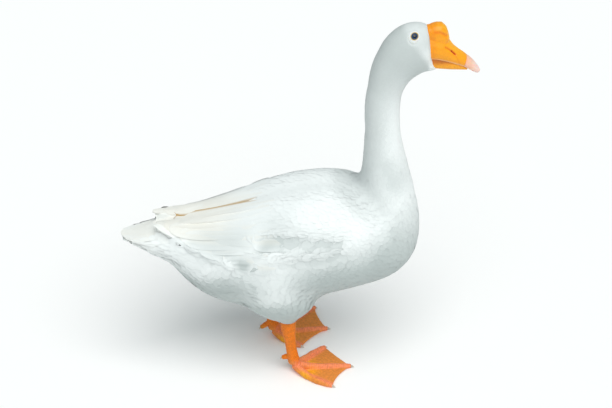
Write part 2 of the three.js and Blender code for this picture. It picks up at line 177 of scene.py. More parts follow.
# The steps where one layer of plumage ends over the next: a route of (forward in mm, degrees from the
# middle of the back), then a depth, a reach and a blur in mm. Seen from the bird's right, the skin is
# sunk on the route's right hand by the depth, which fades out over the reach and the route's two ends.
ARC = 1.75  # mm round the body to a degree
ROUTE_FADE = 0.16  # the share of a route over which its ends fade
LAYERS = (
    # the shoulder and the lower edge of the wing coverts, in soft scallops
    ([(-84, 44), (-71, 51), (-57, 56), (-44, 55), (-33, 59), (-24, 58), (-12, 62), (-3, 60),
      (8, 67), (17, 65), (26, 67), (38, 71), (50, 71), (64, 74), (84, 76)], 8.0, 28, 2.0),
    # the side feathers over the thigh
    ([(-62, 77), (-40, 79), (-28, 82), (-16, 80), (-4, 83), (8, 82), (22, 85), (41, 83),
      (60, 83), (90, 80)], 4.5, 22, 2.0),
    # behind the bulge of the thigh
    ([(-94, 84), (-104, 90), (-110, 97), (-111, 108), (-105, 119), (-92, 130)], 4.0, 16, 4.0),
    # the two rounded panels of wing feathers behind
    ([(-74, 76), (-74, 66), (-79, 57), (-90, 47), (-112, 40), (-140, 44), (-170, 51)], 2.4, 14, 3.2),
    ([(-38, 80), (-44, 71), (-56, 62), (-68, 56)], 1.6, 12, 3.2),
    # the flank feathers that close over the foot of the wing
    ([(-98, 86), (-104, 81), (-114, 76), (-129, 71), (-144, 66), (-160, 62), (-173, 60),
      (-188, 59), (-205, 56)], 7.0, 24, 2.2),
)
# Hollows, as (forward in mm, degrees, depth in mm, radius in mm).
HOLLOWS = ((-101, 80, 4.0, 13), (-10, 17, 2.2, 5), (-86, 88, 2.0, 16))
# The crease where the neck meets the shoulder, a soft furrow along a route as above.
SHOULDER_CREASE = [(92, 8), (100, 20), (112, 32), (126, 43), (143, 53), (156, 64)]
CREASE_DEPTH, CREASE_REACH = 1.3, 10  # mm


def beside(spots, route):
    """How far spots lie from a route, on which hand of it (1 or -1), and at what share along it."""
    route = np.array(route, float)
    a, step = route[:-1], np.diff(route, axis=0)
    t = np.clip(((spots[:, None] - a) * step).sum(2) / (step * step).sum(1), 0, 1)
    away = spots[:, None] - (a + t[..., None] * step)
    gap = np.linalg.norm(away, axis=2)
    best, rows = gap.argmin(1), np.arange(len(spots))
    away, gap = away[rows, best], gap[rows, best]
    hand = np.sign(step[best, 0] * away[:, 1] - step[best, 1] * away[:, 0])
    return gap, hand, (best + t[rows, best]) / len(step)


def sunk_by_layers(p):
    """How far the skin is sunk at points p by the layers of the plumage."""
    _, place, turn = lie_at(p)
    spots = np.stack([(p[:, 0] - NOSEWARD) * 1000, np.abs(turn) * ARC], 1)
    sunk = np.zeros(len(p))
    for route, depth, reach, blur in LAYERS:
        gap, hand, run = beside(spots, np.array(route) * (1, ARC))
        fade = ramp(run, 0, ROUTE_FADE) * ramp(1 - run, 0, ROUTE_FADE)
        below = 1 / (1 + np.exp(-np.clip(hand * gap / blur, -30, 30)))
        sunk += depth * fade * below * np.exp(-np.maximum(hand * gap, 0) / reach)
    for x, angle, depth, radius in HOLLOWS:
        off = np.linalg.norm(spots - (x, angle * ARC), axis=1)
        sunk += depth * np.exp(-((off / radius) ** 2))
    gap, _, _ = beside(spots, np.array(SHOULDER_CREASE) * (1, ARC))
    sunk += CREASE_DEPTH * np.exp(-((gap / CREASE_REACH) ** 2))
    return sunk * ramp(place, BODY_START - 0.6, BODY_START + 0.2) / 1000


EYE_MIDDLE = (167, 16, 587)
GAZE = Vector((0.05, 0.80, 0.60)).normalized()  # the way the left eye looks


def eye_at(sign):
    """The middle of an eye and the way it looks: the left eye for 1, the right eye for -1."""
    middle = bird(EYE_MIDDLE[0], sign * EYE_MIDDLE[1], EYE_MIDDLE[2])
    return middle, Vector((GAZE.x, sign * GAZE.y, GAZE.z))


# Balls that fill the eye sockets up to just under the eyes, and one under the feathers of the chin.
SOCKET_BALL, SOCKET_SUNK = (0.0075, 0.0075, 0.0075), 0.0016
CHIN_MIDDLE, CHIN_BALL = (196, 0, 534), (0.013, 0.018, 0.0095)

filler = [(bird(*CHIN_MIDDLE), CHIN_BALL)]
for sign in (-1, 1):
    middle, gaze = eye_at(sign)
    filler.append((middle - gaze * SOCKET_SUNK, SOCKET_BALL))
filler_balls = []
for middle, radii in filler:
    bpy.ops.object.select_all(action="DESELECT")
    bpy.ops.mesh.primitive_uv_sphere_add(
        segments=32, ring_count=16, radius=1, location=middle, scale=radii
    )
    bpy.ops.object.transform_apply(location=True, scale=True)
    filler_balls.append(bpy.context.view_layer.objects.active)


def evened(piece, share, rounds):
    """Evens a mesh out, each point moving half its own share of the way to its neighbours' middle."""
    edge = np.empty(len(piece.data.edges) * 2, np.int32)
    piece.data.edges.foreach_get("vertices", edge)
    one, other = edge.reshape(-1, 2).T
    ends, starts = np.concatenate([one, other]), np.concatenate([other, one])
    co = points_of(piece)
    near = np.bincount(ends, minlength=len(co))[:, None]
    for _ in range(rounds):
        total = np.stack([np.bincount(ends, co[starts, k], len(co)) for k in range(3)], 1)
        co = co + 0.5 * share[:, None] * (total / near - co)
    move_points(piece, co)


def how_much_evened(p):
    """The share of the evening at points p: all of it on the trunk, less where a form is kept."""
    _, place, turn = lie_at(p)
    x, turn = (p[:, 0] - NOSEWARD) * 1000, np.abs(turn)
    trunk = 0.35 + 0.65 * ramp(place, BODY_START - 1, BODY_START + 0.5)
    before_tail = 0.1 + 0.9 * ramp(x, -200, -165)
    above_legs = 0.3 + 0.7 * ramp(p[:, 2], 0.13, 0.16)
    wing_foot = 0.6 * ramp(x, -75, -95) * ramp(turn, 40, 50) * ramp(turn, 95, 88)
    return trunk * (before_tail * above_legs) * (1 - wing_foot)


CLOSE = 0.0045  # clefts narrower than twice this are grown shut
TAIL_THINNER = 0.0025  # how much the end of the tail is thinned under its long feathers
LIGHT_ROUNDS, FULL_ROUNDS = 4, 60  # of evening

skin = fused_copy("skin", FLESH, voxel=0.0024, smooth_passes=6, grow=CLOSE, extra=filler_balls)
move_points(skin, points_of(skin) - normals_of(skin) * CLOSE)
evened(skin, np.ones(len(skin.data.vertices)), LIGHT_ROUNDS)
evened(skin, how_much_evened(points_of(skin)), FULL_ROUNDS)
co = points_of(skin)
sunk = coat_depth(co) + sunk_by_layers(co) + TAIL_THINNER * ramp(co[:, 0], -0.225, -0.275)
move_points(skin, co - normals_of(skin) * sunk[:, None])
evened(skin, np.ones(len(co)), LIGHT_ROUNDS)


# ---- Camera, floor and light ----
# The bird is seen from its right side and from above, at the height of a person looking down at
# it, in soft daylight on a plain white floor.

CAMERA_TURN, CAMERA_RISE, CAMERA_REACH = math.radians(-4), math.radians(30), 2.5
LOOK_AT = Vector((NOSEWARD, MIDDLE_Y - 0.064, 0.330))
IMAGE_WIDTH, FOCAL_PIXELS = 612, 1600
SENSOR_WIDTH = 36  # mm
FLOOR_SIZE, FLOOR_WHITE = 9, (0.97, 0.965, 0.96, 1)
SKY_BLUE, SKY_STRENGTH = (0.88, 0.985, 1.0, 1), 0.40
SUN_WAY, SUN_COLOUR, SUN_STRENGTH = Vector((-0.16, 0.60, -1)), (1, 0.99, 0.98), 2.45
SUN_SPREAD = math.radians(55)

back = Vector((
    math.sin(CAMERA_TURN) * math.cos(CAMERA_RISE),
    -math.cos(CAMERA_TURN) * math.cos(CAMERA_RISE),
    math.sin(CAMERA_RISE),
))
camera = bpy.data.objects.new("camera", bpy.data.cameras.new("camera"))
bpy.context.collection.objects.link(camera)
camera.location = LOOK_AT + back * CAMERA_REACH
camera.rotation_euler = (-back).to_track_quat("-Z", "Y").to_euler()
camera.data.sensor_width = SENSOR_WIDTH
camera.data.lens = SENSOR_WIDTH * FOCAL_PIXELS / IMAGE_WIDTH
bpy.context.scene.camera = camera

bpy.ops.mesh.primitive_plane_add(size=FLOOR_SIZE, location=(0, 0, 0))
floor = bpy.context.view_layer.objects.active
floor.name = "floor"
floor_paint = bpy.data.materials.new("floor_paint")
floor_paint.use_nodes = True
shader = floor_paint.node_tree.nodes["Principled BSDF"]
shader.inputs["Base Color"].default_value = FLOOR_WHITE
shader.inputs["Roughness"].default_value = 0.9
floor.data.materials.append(floor_paint)

world = bpy.data.worlds.new("daylight")
world.use_nodes = True
world.node_tree.nodes["Background"].inputs["Color"].default_value = SKY_BLUE
world.node_tree.nodes["Background"].inputs["Strength"].default_value = SKY_STRENGTH
bpy.context.scene.world = world
bpy.context.scene.view_settings.view_transform = "Standard"

sun = bpy.data.objects.new("soft_overhead_light", bpy.data.lights.new("soft_overhead_light", "SUN"))
bpy.context.collection.objects.link(sun)
sun.rotation_euler = SUN_WAY.to_track_quat("-Z", "Y").to_euler()
sun.data.energy, sun.data.angle, sun.data.color = SUN_STRENGTH, SUN_SPREAD, SUN_COLOUR


# ---- Plumage ----
# Small body feathers: thin, curved vanes that lie along the bird from bill to tail, each rooted in
# the skin and overlapping the next like tiles, so close that the plumage reads as one soft surface.

def mottled(paint, grain, detail, darkest, lightest):
    """Colours a finish with the piece's own tint, made darker and lighter in blotches of a grain."""
    nodes, links = paint.node_tree.nodes, paint.node_tree.links
    tint = nodes.new("ShaderNodeAttribute")
    tint.attribute_name = "tint"
    place = nodes.new("ShaderNodeTexCoord")
    noise = nodes.new("ShaderNodeTexNoise")
    noise.inputs["Scale"].default_value = grain
    noise.inputs["Detail"].default_value = detail
    links.new(place.outputs["Object"], noise.inputs["Vector"])
    shade = nodes.new("ShaderNodeMapRange")
    for socket, value in (
        ("From Min", 0.3), ("From Max", 0.7), ("To Min", darkest), ("To Max", lightest),
    ):
        shade.inputs[socket].default_value = value
    links.new(noise.outputs["Fac"], shade.inputs["Value"])
    mixed = nodes.new("ShaderNodeVectorMath")
    mixed.operation = "SCALE"
    links.new(tint.outputs["Color"], mixed.inputs[0])
    links.new(shade.outputs["Result"], mixed.inputs["Scale"])
    links.new(mixed.outputs[0], nodes["Principled BSDF"].inputs["Base Color"])
    return noise


def feather_white(name, barbs):
    """Matt white vane in the piece's own tint; barbs sets how much its fine ribs show."""
    paint = bpy.data.materials.new(name)
    paint.use_nodes = True
    nodes, links = paint.node_tree.nodes, paint.node_tree.links
    shader = nodes["Principled BSDF"]
    mottled(paint, grain=22, detail=4, darkest=0.965, lightest=1.01)
    ribs = nodes.new("ShaderNodeTexWave")
    ribs.inputs["Scale"].default_value = 0.45
    ribs.inputs["Distortion"].default_value = 1.5
    along = nodes.new("ShaderNodeUVMap")
    along.uv_map = "barbs"
    links.new(along.outputs["UV"], ribs.inputs["Vector"])
    bump = nodes.new("ShaderNodeBump")
    bump.inputs["Strength"].default_value = barbs
    bump.inputs["Distance"].default_value = 0.0002
    links.new(ribs.outputs["Fac"], bump.inputs["Height"])
    links.new(bump.outputs["Normal"], shader.inputs["Normal"])
    shader.inputs["Roughness"].default_value = 0.8
    shader.inputs["Sheen Weight"].default_value = 0.1
    shader.inputs["Specular IOR Level"].default_value = 0.2
    return paint


def tinted(piece, colours):
    """Gives each point of a piece its own colour, which its finish reads."""
    layer = piece.data.color_attributes.new("tint", "FLOAT_COLOR", "POINT")
    rgba = np.concatenate([colours, np.ones((len(colours), 1))], 1)
    layer.data.foreach_set("color", rgba.astype(np.float32).ravel())


WHITE, SHADED_WHITE = np.array([0.88, 0.92, 0.915]), np.array([0.46, 0.515, 0.505])
CREAM, OCHRE = np.array([0.87, 0.855, 0.785]), np.array([0.50, 0.30, 0.085])
# How much of the white gives way, from 0 to 1: to cream on the long feathers, and to the shaded white of
# painted shade underneath, in the folds between the layers, on the nape and over the side of the head.
FLIGHTS_CREAM, TAIL_CREAM = 0.4, 0.2
UNDERNEATH_SHADED, FOLDS_SHADED, NAPE_SHADED, HEAD_SHADED = 0.95, 0.85, 0.4, 0.72
THIGH_X, THIGH_REACH, THIGH_SPARED = -52, 42, 0.75  # forward mm, mm, share of the shade it is spared
# Patches of painted shade on the body: forward mm, degrees round the body, reach in mm, how much.
SHADE_PATCHES = ((-150, 57, 34, 0.42), (-104, 52, 26, 0.35), (-48, 48, 24, 0.34), (-14, 68, 24, 0.26),
          (26, 77, 26, 0.3), (-66, 86, 15, 0.3), (-100, 84, 13, 0.4))
# Patches of painted shade at the foot of the neck, where it meets the shoulder.
NECK_SHADE_PATCHES = ((140, 350, 26, 0.5), (122, 378, 20, 0.35))  # forward mm, up mm, reach in mm, how much


def plumage_tint(p):
    """The colour of skin and feathers at points p: white, cream on the long feathers, or darkened by
    painted shade.
    """
    _, place, turn = lie_at(p)
    x, turn = (p[:, 0] - NOSEWARD) * 1000, np.abs(turn)
    cream = FLIGHTS_CREAM * ramp(x, -100, -165) * ramp(turn, 62, 44)
    cream = np.maximum(cream, TAIL_CREAM * ramp(x, -225, -265) * ramp(turn, 100, 80))
    # painted shade underneath, lighter on the bulge of the thigh
    thigh = np.exp(-(((x - THIGH_X) / THIGH_REACH) ** 2)) * ramp(p[:, 2], 0.145, 0.175)
    later = 14 * ramp(x, -120, -180)
    under = ramp(turn - later, 72, 108) * (1 - THIGH_SPARED * thigh)
    under = under * ramp(place, BODY_START - 2, BODY_START + 0.5)
    spots = np.zeros(len(p))
    for spot_x, spot_turn, reach, much in SHADE_PATCHES:
        gap = np.hypot(x - spot_x, (turn - spot_turn) * ARC)
        spots += much * np.exp(-((gap / reach) ** 2)) * ramp(place, BODY_START - 1.5, BODY_START)
    # painted shade below the edge of each layer of plumage
    fold = FOLDS_SHADED * ramp(sunk_by_layers(p), 0.0022, 0.0085)
    for spot_x, spot_z, reach, much in NECK_SHADE_PATCHES:
        spots += much * np.exp(-(np.hypot(x - spot_x, p[:, 2] * 1000 - spot_z) / reach) ** 2)
    under = np.maximum(UNDERNEATH_SHADED * under, np.maximum(spots, fold))
    # painted shade over the side of the head behind the eye
    eye = np.stack([x - EYE_MIDDLE[0], p[:, 2] * 1000 - EYE_MIDDLE[2]], 1)
    head = ramp(place, 7, 2.5) * ramp(eye[:, 0] + 0.7 * eye[:, 1], 3, -14)
    head *= ramp(x, 197, 188) * ramp(np.linalg.norm(eye, axis=1), 8, 13)
    # painted shade on the nape
    nape = NAPE_SHADED * ramp(turn, 125, 60) * ramp(place, 11.3, 9.8)
    grey = np.maximum(under, nape + (HEAD_SHADED - nape) * head)
    colour = WHITE * (1 - cream[:, None]) + CREAM * cream[:, None]
    return colour * (1 - grey[:, None]) + SHADED_WHITE * grey[:, None]


MAP_MARGIN, MAP_SPAN = 0.01, 0.98  # how the rolled-out skin lies on a map one unit wide


def unrolled(p):
    """Where points p lie on the skin rolled out flat along the middle line, as a map position."""
    _, place, turn = lie_at(p)
    return np.stack([MAP_MARGIN + MAP_SPAN * place / (len(LIE) - 1), 0.5 + MAP_SPAN * turn / 360], 1)


skin.data.calc_loop_triangles()
skin_tris = np.empty(len(skin.data.loop_triangles) * 3, np.int32)
skin.data.loop_triangles.foreach_get("vertices", skin_tris)
skin_tris = skin_tris.reshape(-1, 3)
skin_points, skin_normals = points_of(skin), normals_of(skin)
skin_bvh = BVHTree.FromPolygons([Vector(q) for q in skin_points], skin_tris.tolist())


def smooth_normals(p, index):
    """The skin's normals at points p, each on the triangle given, blended between its corners."""
    a, b, c = (skin_points[skin_tris[index, k]] for k in range(3))
    u, v, w = b - a, c - a, p - a
    uu, uv, vv = (u * u).sum(1), (u * v).sum(1), (v * v).sum(1)
    wu, wv = (w * u).sum(1), (w * v).sum(1)
    span = np.maximum(uu * vv - uv * uv, 1e-20)
    s, t = (vv * wu - uv * wv) / span, (uu * wv - uv * wu) / span
    share = np.clip(np.stack([1 - s - t, s, t], 1), 0, 1)
    corner = skin_normals[skin_tris[index]]
    return unit((corner * share[..., None]).sum(1))


def laid_on_skin(p):
    """The nearest points of the skin to p, and the skin's normals there."""
    places, index = np.empty_like(p), np.empty(len(p), int)
    for i, q in enumerate(p):
        hit, _, face, _ = skin_bvh.find_nearest(q)
        places[i], index[i] = hit, face
    return places, smooth_normals(places, index)


OVERSOWN = 4.0  # how many times too many points are sown, before those too close are weeded out


def scattered(seed, spacing_at):
    """Points spread evenly over the skin, each about spacing_at(p) from the next."""
    rng = np.random.default_rng(seed)
    corner = skin_points[skin_tris]
    area = 0.5 * np.linalg.norm(
        np.cross(corner[:, 1] - corner[:, 0], corner[:, 2] - corner[:, 0]), axis=1
    )
    wanted = area / spacing_at(corner.mean(1)) ** 2 * OVERSOWN
    count = int(wanted.sum())
    pick = rng.choice(len(skin_tris), count, p=wanted / wanted.sum())
    a, b = rng.random(count), rng.random(count)
    flip = a + b > 1
    a[flip], b[flip] = 1 - a[flip], 1 - b[flip]
    weight = np.stack([1 - a - b, a, b], 1)
    p = (corner[pick] * weight[..., None]).sum(1)
    n = unit((skin_normals[skin_tris[pick]] * weight[..., None]).sum(1))
    reach = spacing_at(p)
    tree = kdtree.KDTree(count)
    for i, q in enumerate(p):
        tree.insert(q, i)
    tree.balance()
    alive = np.ones(count, bool)
    kept = []
    for i in range(count):
        if alive[i]:
            kept.append(i)
            for _, j, _ in tree.find_range(p[i], reach[i]):
                alive[j] = False
    return p[kept], n[kept], rng


# One small vane, as (share along, half its width): rounded, with a low ridge down its middle, closed
# underneath by flat faces.
VANE_EDGE = [(0.0, 0.16), (0.32, 0.42), (0.62, 0.5), (0.84, 0.42), (0.96, 0.23)]
RIDGE = 0.008  # height of the ridge for each unit of width
# In coat depths: how far the tip stands over the root, how deep the root is set, how uneven they lie.
LIFT, ROOT_SET, UNEVEN = 0.48, 0.05, 0.08


def vane_shape(edge):
    """Points of one small vane, as (along, across, share of the ridge's height), and its faces."""
    points, faces = [], []
    for t, w in edge:
        points += [(t, -w, 0.0), (t, 0.0, 1.0), (t, w, 0.0)]
    points.append((1.0, 0.0, 0.3))
    tip = len(points) - 1
    for k in range(len(edge) - 1):
        a, b = 3 * k, 3 * (k + 1)
        faces += [(a, a + 1, b + 1), (a, b + 1, b), (a + 1, a + 2, b + 2), (a + 1, b + 2, b + 1)]
        faces += [(a + 2, a, b), (a + 2, b, b + 2)]
    a = 3 * (len(edge) - 1)
    faces += [(a, a + 1, tip), (a + 1, a + 2, tip), (a + 2, a, tip), (0, 2, 1)]
    return np.array(points), np.array(faces)[:, ::-1]


def coat_mesh(name, verts, normals, faces, uv, barbs, colour, paint):
    """One joined mesh of many vanes: verts (n, k, 3), the faces of one, their map places and tints.

    The normals are given rather than taken from the faces, so that each vane shades as one leaf."""
    n, k = verts.shape[:2]
    mesh = bpy.data.meshes.new(name)
    allfaces = (faces[None] + (np.arange(n) * k)[:, None, None]).reshape(-1, 3)
    corners = allfaces.reshape(-1)
    mesh.vertices.add(n * k)
    mesh.vertices.foreach_set("co", verts.reshape(-1).astype(np.float32))
    mesh.loops.add(allfaces.size)
    mesh.loops.foreach_set("vertex_index", corners.astype(np.int32))
    mesh.polygons.add(len(allfaces))
    mesh.polygons.foreach_set("loop_start", np.arange(0, allfaces.size, 3, dtype=np.int32))
    mesh.polygons.foreach_set("use_smooth", np.ones(len(allfaces), bool))
    for layer_name, values in (("OFBake", uv), ("barbs", barbs)):
        layer = mesh.uv_layers.new(name=layer_name)
        layer.uv.foreach_set("vector", values.reshape(-1, 2)[corners].reshape(-1).astype(np.float32))
    mesh.update()
    mesh.normals_split_custom_set_from_vertices(normals.reshape(-1, 3).tolist())
    mesh.materials.append(paint)
    piece = bpy.data.objects.new(name, mesh)
    bpy.context.collection.objects.link(piece)
    tinted(piece, colour.reshape(-1, 3))
    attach(piece, "root")
    return piece


PATCH = 0.003  # each feather's patch on the rolled-out skin


def patch_uv(roots, shape):
    local = np.stack([shape[:, 0] - 0.5, shape[:, 1]], 1) * PATCH
    return unrolled(roots)[:, None] + local[None]


BARB_SLANT = 0.8  # how far the barbs run forward for each unit across


def barb_map(length, width, shape):
    """Map on which the barbs run slanting from the shaft to the edges, in millimetres."""
    along, across = shape[None, :, 0] * length[:, None], np.abs(shape[None, :, 1]) * width[:, None]
    return np.stack([(along - BARB_SLANT * across) * 1000, across * 1000], 2)


# Length of the small feathers at each place along the middle line.
LENGTH_AT = (0.0, 3, 4, 5, 7, 10, 13, 16, 20)
LENGTHS = (0.0042, 0.0052, 0.0070, 0.0100, 0.0130, 0.019, 0.024, 0.027, 0.030)


def leg_share(p):
    """1 on the feathered thighs below the belly, 0 elsewhere."""
    return ramp(p[:, 2], 0.165, 0.125) * ramp(np.abs(p[:, 0] - NOSEWARD + 0.035), 0.11, 0.06)


SHORTEST_ON_LEG, LONGER_ON_LEG = 0.006, 0.008


def feather_length(p):
    _, place, _ = lie_at(p)
    length = np.interp(place, LENGTH_AT, LENGTHS)
    leg = leg_share(p)
    on_leg = SHORTEST_ON_LEG + LONGER_ON_LEG * ramp(p[:, 2], 0.095, 0.13)
    return length * (1 - leg) + on_leg * leg


# The field of the long wing feathers: forward mm of its front edge at each number of degrees round
# the body, and degrees of its lower edge at each number of mm back.
WING_FRONT = ((0, 10, 25, 40, 55, 72, 84), (-56, -60, -70, -82, -78, -66, -84))
WING_LOW_EDGE = ((60, 100, 129, 160, 190, 215, 228), (76, 74, 65, 57, 51, 44, 30))
WING_BACK = -232  # forward mm
WING_TIPS_FROM, WING_TIPS_OVER = -195, 0.262  # forward mm, and height in m above which the tips lie
TAIL_FROM, TAIL_END = -236, -283  # forward mm
TAIL_FIELD = ((-292, -236), (250, 254))  # forward mm, and the height over which the tail's rows lie, mm


def under_wing_feathers(p):
    """True where the long wing and tail feathers cover the skin, which then carries no small ones."""
    _, _, turn = lie_at(p)
    x, turn = (p[:, 0] - NOSEWARD) * 1000, np.abs(turn)
    front, low_edge = np.interp(turn, *WING_FRONT), np.interp(-x, *WING_LOW_EDGE)
    wing = (x < front) & (x > WING_BACK) & (turn < low_edge)
    wing_tips = (x < WING_TIPS_FROM) & (p[:, 2] > WING_TIPS_OVER)
    tail = (x < TAIL_END) | (x < TAIL_FROM) & (p[:, 2] * 1000 > np.interp(x, *TAIL_FIELD))
    return wing | wing_tips | tail


DOWN_THE_LEG = np.array([-0.25, 0, -1.0])  # the way the feathers of the thighs lie
SWING = 0.09  # how far a feather strays from the lie, radians
SIZES, SLIMNESS, TINTS = (0.9, 1.12), (0.56, 0.68), (0.985, 1.01)  # least and most, as shares
TINT_PLACE = 0.8  # where along a feather its tint is taken, since its tip is the part that shows
MOST_CLEAR = 0.0012  # the most that a stiff feather is lifted over a bump in the skin
MOST_BENT, LEAST_UPRIGHT = 0.16, 0.35  # past these a feather would lie over a sharp edge: it is left out


def body_feathers(seed, spacing):
    """The small feathers: the faces of one, then the points, normals, maps, tints and places of all."""
    roots, normals, rng = scattered(seed, lambda p: feather_length(p) * spacing)
    bare = under_wing_feathers(roots)
    roots, normals = roots[~bare], normals[~bare]
    length = feather_length(roots)
    way, place, _ = lie_at(roots)
    leg = leg_share(roots)[:, None]
    way = way * (1 - leg) + DOWN_THE_LEG * leg
    way = unit(way - normals * (way * normals).sum(1)[:, None])
    side = np.cross(normals, way)
    swing = rng.normal(0, SWING, len(roots))[:, None]
    way = unit(way + side * swing)
    side = np.cross(normals, way)
    shape, faces = vane_shape(VANE_EDGE)
    size = length * rng.uniform(*SIZES, len(roots))
    width = size * rng.uniform(*SLIMNESS, len(roots))
    depth = coat_depth(roots)
    flat = (
        roots[:, None]
        + way[:, None] * (shape[None, :, :1] * size[:, None, None])
        + side[:, None] * (shape[None, :, 1:2] * width[:, None, None])
    )
    ground, up = laid_on_skin(flat.reshape(-1, 3))
    along, across = shape[:, 0], shape[:, 1]
    evenly = np.stack([np.ones(len(shape)), along, across, along ** 2], 1)
    evenly = evenly @ np.linalg.pinv(evenly)  # keeps each vane a smooth, gently bent leaf
    real, ground = ground.reshape(flat.shape), evenly @ ground.reshape(flat.shape)
    up = unit(evenly @ up.reshape(flat.shape))
    clear = ((real - ground) * up).sum(2).max(1).clip(0, MOST_CLEAR)
    rise = (-ROOT_SET + LIFT * along)[None] * depth[:, None] + shape[None, :, 2] * RIDGE * width[:, None]
    rise += (clear + rng.uniform(0, UNEVEN, len(roots)) * depth)[:, None]
    verts = ground + up * rise[..., None]
    slope = (LIFT * depth / size)[:, None, None]
    leaning = side[:, None] * (np.sign(across) * 2 * RIDGE)[None, :, None]
    normal = up - way[:, None] * slope + leaning
    tips = roots + way * (TINT_PLACE * size)[:, None]
    # colour, painted shade included, taken from plumage_tint near the tip
    colour = plumage_tint(tips) * rng.uniform(*TINTS, len(roots))[:, None]
    colour = np.repeat(colour[:, None], len(shape), 1)
    bent = np.linalg.norm(real - ground, axis=2).max(1) > MOST_BENT * size
    bent |= (up * normals[:, None]).sum(2).min(1) < LEAST_UPRIGHT
    made = verts, normal, patch_uv(roots, shape), barb_map(size, width, shape), colour, place
    return faces, *(part[~bent] for part in made)


SPACING = 0.25  # from one feather to the next, for each unit of length
PIECE_LIMIT = 190_000  # triangles in one piece of the coat

down_white = feather_white("down_white", barbs=0.25)
# the skin takes the same colour, painted shade included
tinted(skin, plumage_tint(skin_points))
skin.data.materials.append(down_white)
faces, verts, normal, uv, barbs, colour, place = body_feathers(seed=11, spacing=SPACING)
order = np.argsort(place, kind="stable")
pieces = int(np.ceil(len(order) / (PIECE_LIMIT // len(faces))))
for k, chosen in enumerate(np.array_split(order, pieces)):
    coat = coat_mesh(
        f"body_feathers_{k + 1}", verts[chosen], normal[chosen], faces, uv[chosen], barbs[chosen],
        colour[chosen], down_white,
    )

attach(skin, "root")
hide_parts(*FLESH)


# ---- Wing and tail feathers ----
# The big feathers of the folded wings and the tail: stiff vanes on a shaft, in rows that overlap. The
# flights are stained cream, and ochre along the inner edge where the two wings meet.

STATIONS = np.array([0, 0.06, 0.14, 0.24, 0.34, 0.44, 0.54, 0.64, 0.73, 0.81, 0.88, 0.94, 0.98, 1.0])
ACROSS = np.array([-1, -0.55, -0.07, 0, 0.07, 0.55, 1])
SHAFT, RIM_DEPTH = 0.00025, 0.0026  # height of the shaft's ridge, depth of the closed rim


def big_vane():
    """Faces of one big feather: a grid of stations by points across, closed by a rim and a floor."""
    k, faces = len(ACROSS), []
    row = k + 2
    for i in range(len(STATIONS) - 1):
        a, b = i * row, (i + 1) * row
        for j in range(k - 1):
            faces += [(a + j, a + j + 1, b + j + 1), (a + j, b + j + 1, b + j)]
        for j, m in ((k - 1, k), (k, k + 1), (k + 1, 0)):
            faces += [(a + j, a + m, b + m), (a + j, b + m, b + j)]
    last = (len(STATIONS) - 1) * row
    for j in range(k - 1):
        faces += [(j + 1, j, k), (last + j, last + j + 1, last + k)]
    faces += [(k + 1, k, 0), (last + k, last + k + 1, last)]
    return np.array(faces)[:, ::-1]


def cast_in(start, inward):
    """Where rays from points outside the bird first meet the skin, with the skin's normals there."""
    places, index = np.full_like(start, np.nan), np.zeros(len(start), int)
    for i, (q, d) in enumerate(zip(start, inward)):
        hit, _, face, _ = skin_bvh.ray_cast(q, d)
        if hit is not None:
            places[i], index[i] = hit, face
    good = ~np.isnan(places[:, 0])
    normals = np.zeros_like(places)
    normals[good] = smooth_normals(places[good], index[good])
    return places, normals, good


TRUNK_LINE = LIE[:BODY_START:-1] * 1000  # the middle line from the tail to the front of the trunk, mm
OUTSIDE = 0.35  # further from the middle line than any part of the trunk


def round_body(x, angle):
    """Where the skin lies at x mm, at an angle in degrees from straight up, right negative."""
    z = np.interp(x, TRUNK_LINE[:, 0], TRUNK_LINE[:, 1])
    turn = np.radians(angle)
    out = np.stack([np.zeros(len(x)), np.sin(turn), np.cos(turn)], 1)
    axis = np.stack([x / 1000 + NOSEWARD, np.full(len(x), MIDDLE_Y), z / 1000], 1)
    return cast_in(axis + out * OUTSIDE, -out)


STRAYS = (0.008, 0.004, 0.003)  # how far off the bend a point may lie, in each round of fitting it
SAME_WAY = 0.85  # how nearly the skin under a feather's shaft faces one way, as a cosine
EDGE_REACH, EDGE_WAY = 0.005, 0.75  # past these an edge hangs free of the skin: distance, cosine
ROOT_WIDTH, WIDENING = 0.35, 2.2  # share of the width at the root, and how fast it grows along
TIP_SHAPE, LEAST_HALF = 2.3, 0.0002  # how square the tip is (2 is a half ellipse), half its least width
BIG_ROOT_SET, BIG_MOST_CLEAR = 0.0012, 0.002  # how deep the root is set, the most a feather is lifted
SHAFT_WIDTH, SHAFT_CREAM = 0.12, 0.35  # as a share of half the width, how much cream is in it
SHAFT_THINNING = 0.6  # how much of the shaft's height is gone at the tip
MIDDLE_STATIONS, FEWEST = slice(2, 9), 6  # where a feather's facing is read, fewest points for its bend


